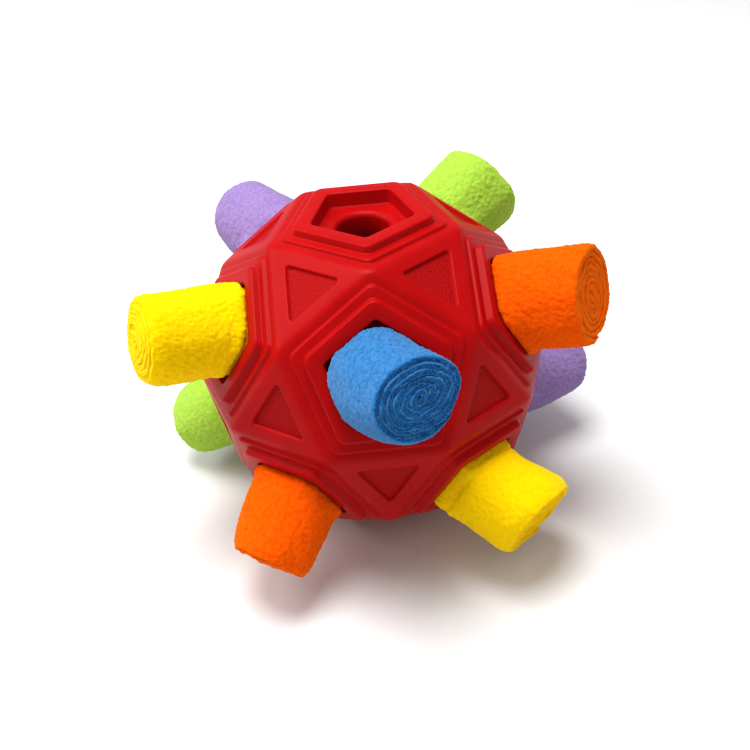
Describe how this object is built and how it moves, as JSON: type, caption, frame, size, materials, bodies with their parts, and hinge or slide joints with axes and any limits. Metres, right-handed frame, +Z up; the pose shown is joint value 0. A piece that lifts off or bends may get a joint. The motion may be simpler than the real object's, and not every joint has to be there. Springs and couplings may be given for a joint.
{
  "type": "snuffle ball",
  "caption": "Hollow rubber ball with pentagonal pockets that hold wound fleece strips, so that a dog sniffs out and pulls free the dry food hidden in them.",
  "frame": {"origin": "centre of the ball", "axes": "+Z up, out of the middle of the open top pocket; -Y towards the front, below the front blue roll's pocket"},
  "size_m": [0.129, 0.1295, 0.09],
  "materials": {
    "ball_rubber": "satin moulded rubber",
    "fleece_blue": "short-pile fleece",
    "fleece_orange": "short-pile fleece",
    "fleece_lime": "short-pile fleece",
    "fleece_lilac": "short-pile fleece",
    "fleece_yellow": "short-pile fleece"
  },
  "bodies": {
    "ball": {"shell_left_half": "ball_rubber", "shell_right_half": "ball_rubber"},
    "blue_front_roll": {"fleece_roll_blue_front": "fleece_blue"},
    "orange_right_roll": {"fleece_roll_orange_right": "fleece_orange"},
    "lime_rear_right_roll": {"fleece_roll_lime_rear_right": "fleece_lime"},
    "lilac_rear_left_roll": {"fleece_roll_lilac_rear_left": "fleece_lilac"},
    "yellow_left_roll": {"fleece_roll_yellow_left": "fleece_yellow"},
    "yellow_lower_right_roll": {"fleece_roll_yellow_lower_right": "fleece_yellow"},
    "lilac_lower_right_roll": {"fleece_roll_lilac_lower_right": "fleece_lilac"},
    "blue_lower_rear_roll": {"fleece_roll_blue_lower_rear": "fleece_blue"},
    "lime_lower_left_roll": {"fleece_roll_lime_lower_left": "fleece_lime"},
    "orange_lower_left_roll": {"fleece_roll_orange_lower_left": "fleece_orange"}
  },
  "joints": [
    {"name": "blue_front_pull", "type": "slide", "parent": "ball", "child": "blue_front_roll", "axis": [0, -0.8944, 0.4472], "range_m": [0, 0.03]},
    {"name": "orange_right_pull", "type": "slide", "parent": "ball", "child": "orange_right_roll", "axis": [0.8507, -0.2764, 0.4472], "range_m": [0, 0.03]},
    {"name": "lime_rear_right_pull", "type": "slide", "parent": "ball", "child": "lime_rear_right_roll", "axis": [0.5257, 0.7236, 0.4472], "range_m": [0, 0.03]},
    {"name": "lilac_rear_left_pull", "type": "slide", "parent": "ball", "child": "lilac_rear_left_roll", "axis": [-0.5257, 0.7236, 0.4472], "range_m": [0, 0.03]},
    {"name": "yellow_left_pull", "type": "slide", "parent": "ball", "child": "yellow_left_roll", "axis": [-0.8507, -0.2764, 0.4472], "range_m": [0, 0.03]},
    {"name": "yellow_lower_right_pull", "type": "slide", "parent": "ball", "child": "yellow_lower_right_roll", "axis": [0.5257, -0.7236, -0.4472], "range_m": [0, 0.03]},
    {"name": "lilac_lower_right_pull", "type": "slide", "parent": "ball", "child": "lilac_lower_right_roll", "axis": [0.8507, 0.2764, -0.4472], "range_m": [0, 0.03]},
    {"name": "blue_lower_rear_pull", "type": "slide", "parent": "ball", "child": "blue_lower_rear_roll", "axis": [0, 0.8944, -0.4472], "range_m": [0, 0.03]},
    {"name": "lime_lower_left_pull", "type": "slide", "parent": "ball", "child": "lime_lower_left_roll", "axis": [-0.8507, 0.2764, -0.4472], "range_m": [0, 0.03]},
    {"name": "orange_lower_left_pull", "type": "slide", "parent": "ball", "child": "orange_lower_left_roll", "axis": [-0.5257, -0.7236, -0.4472], "range_m": [0, 0.03]}
  ]
}
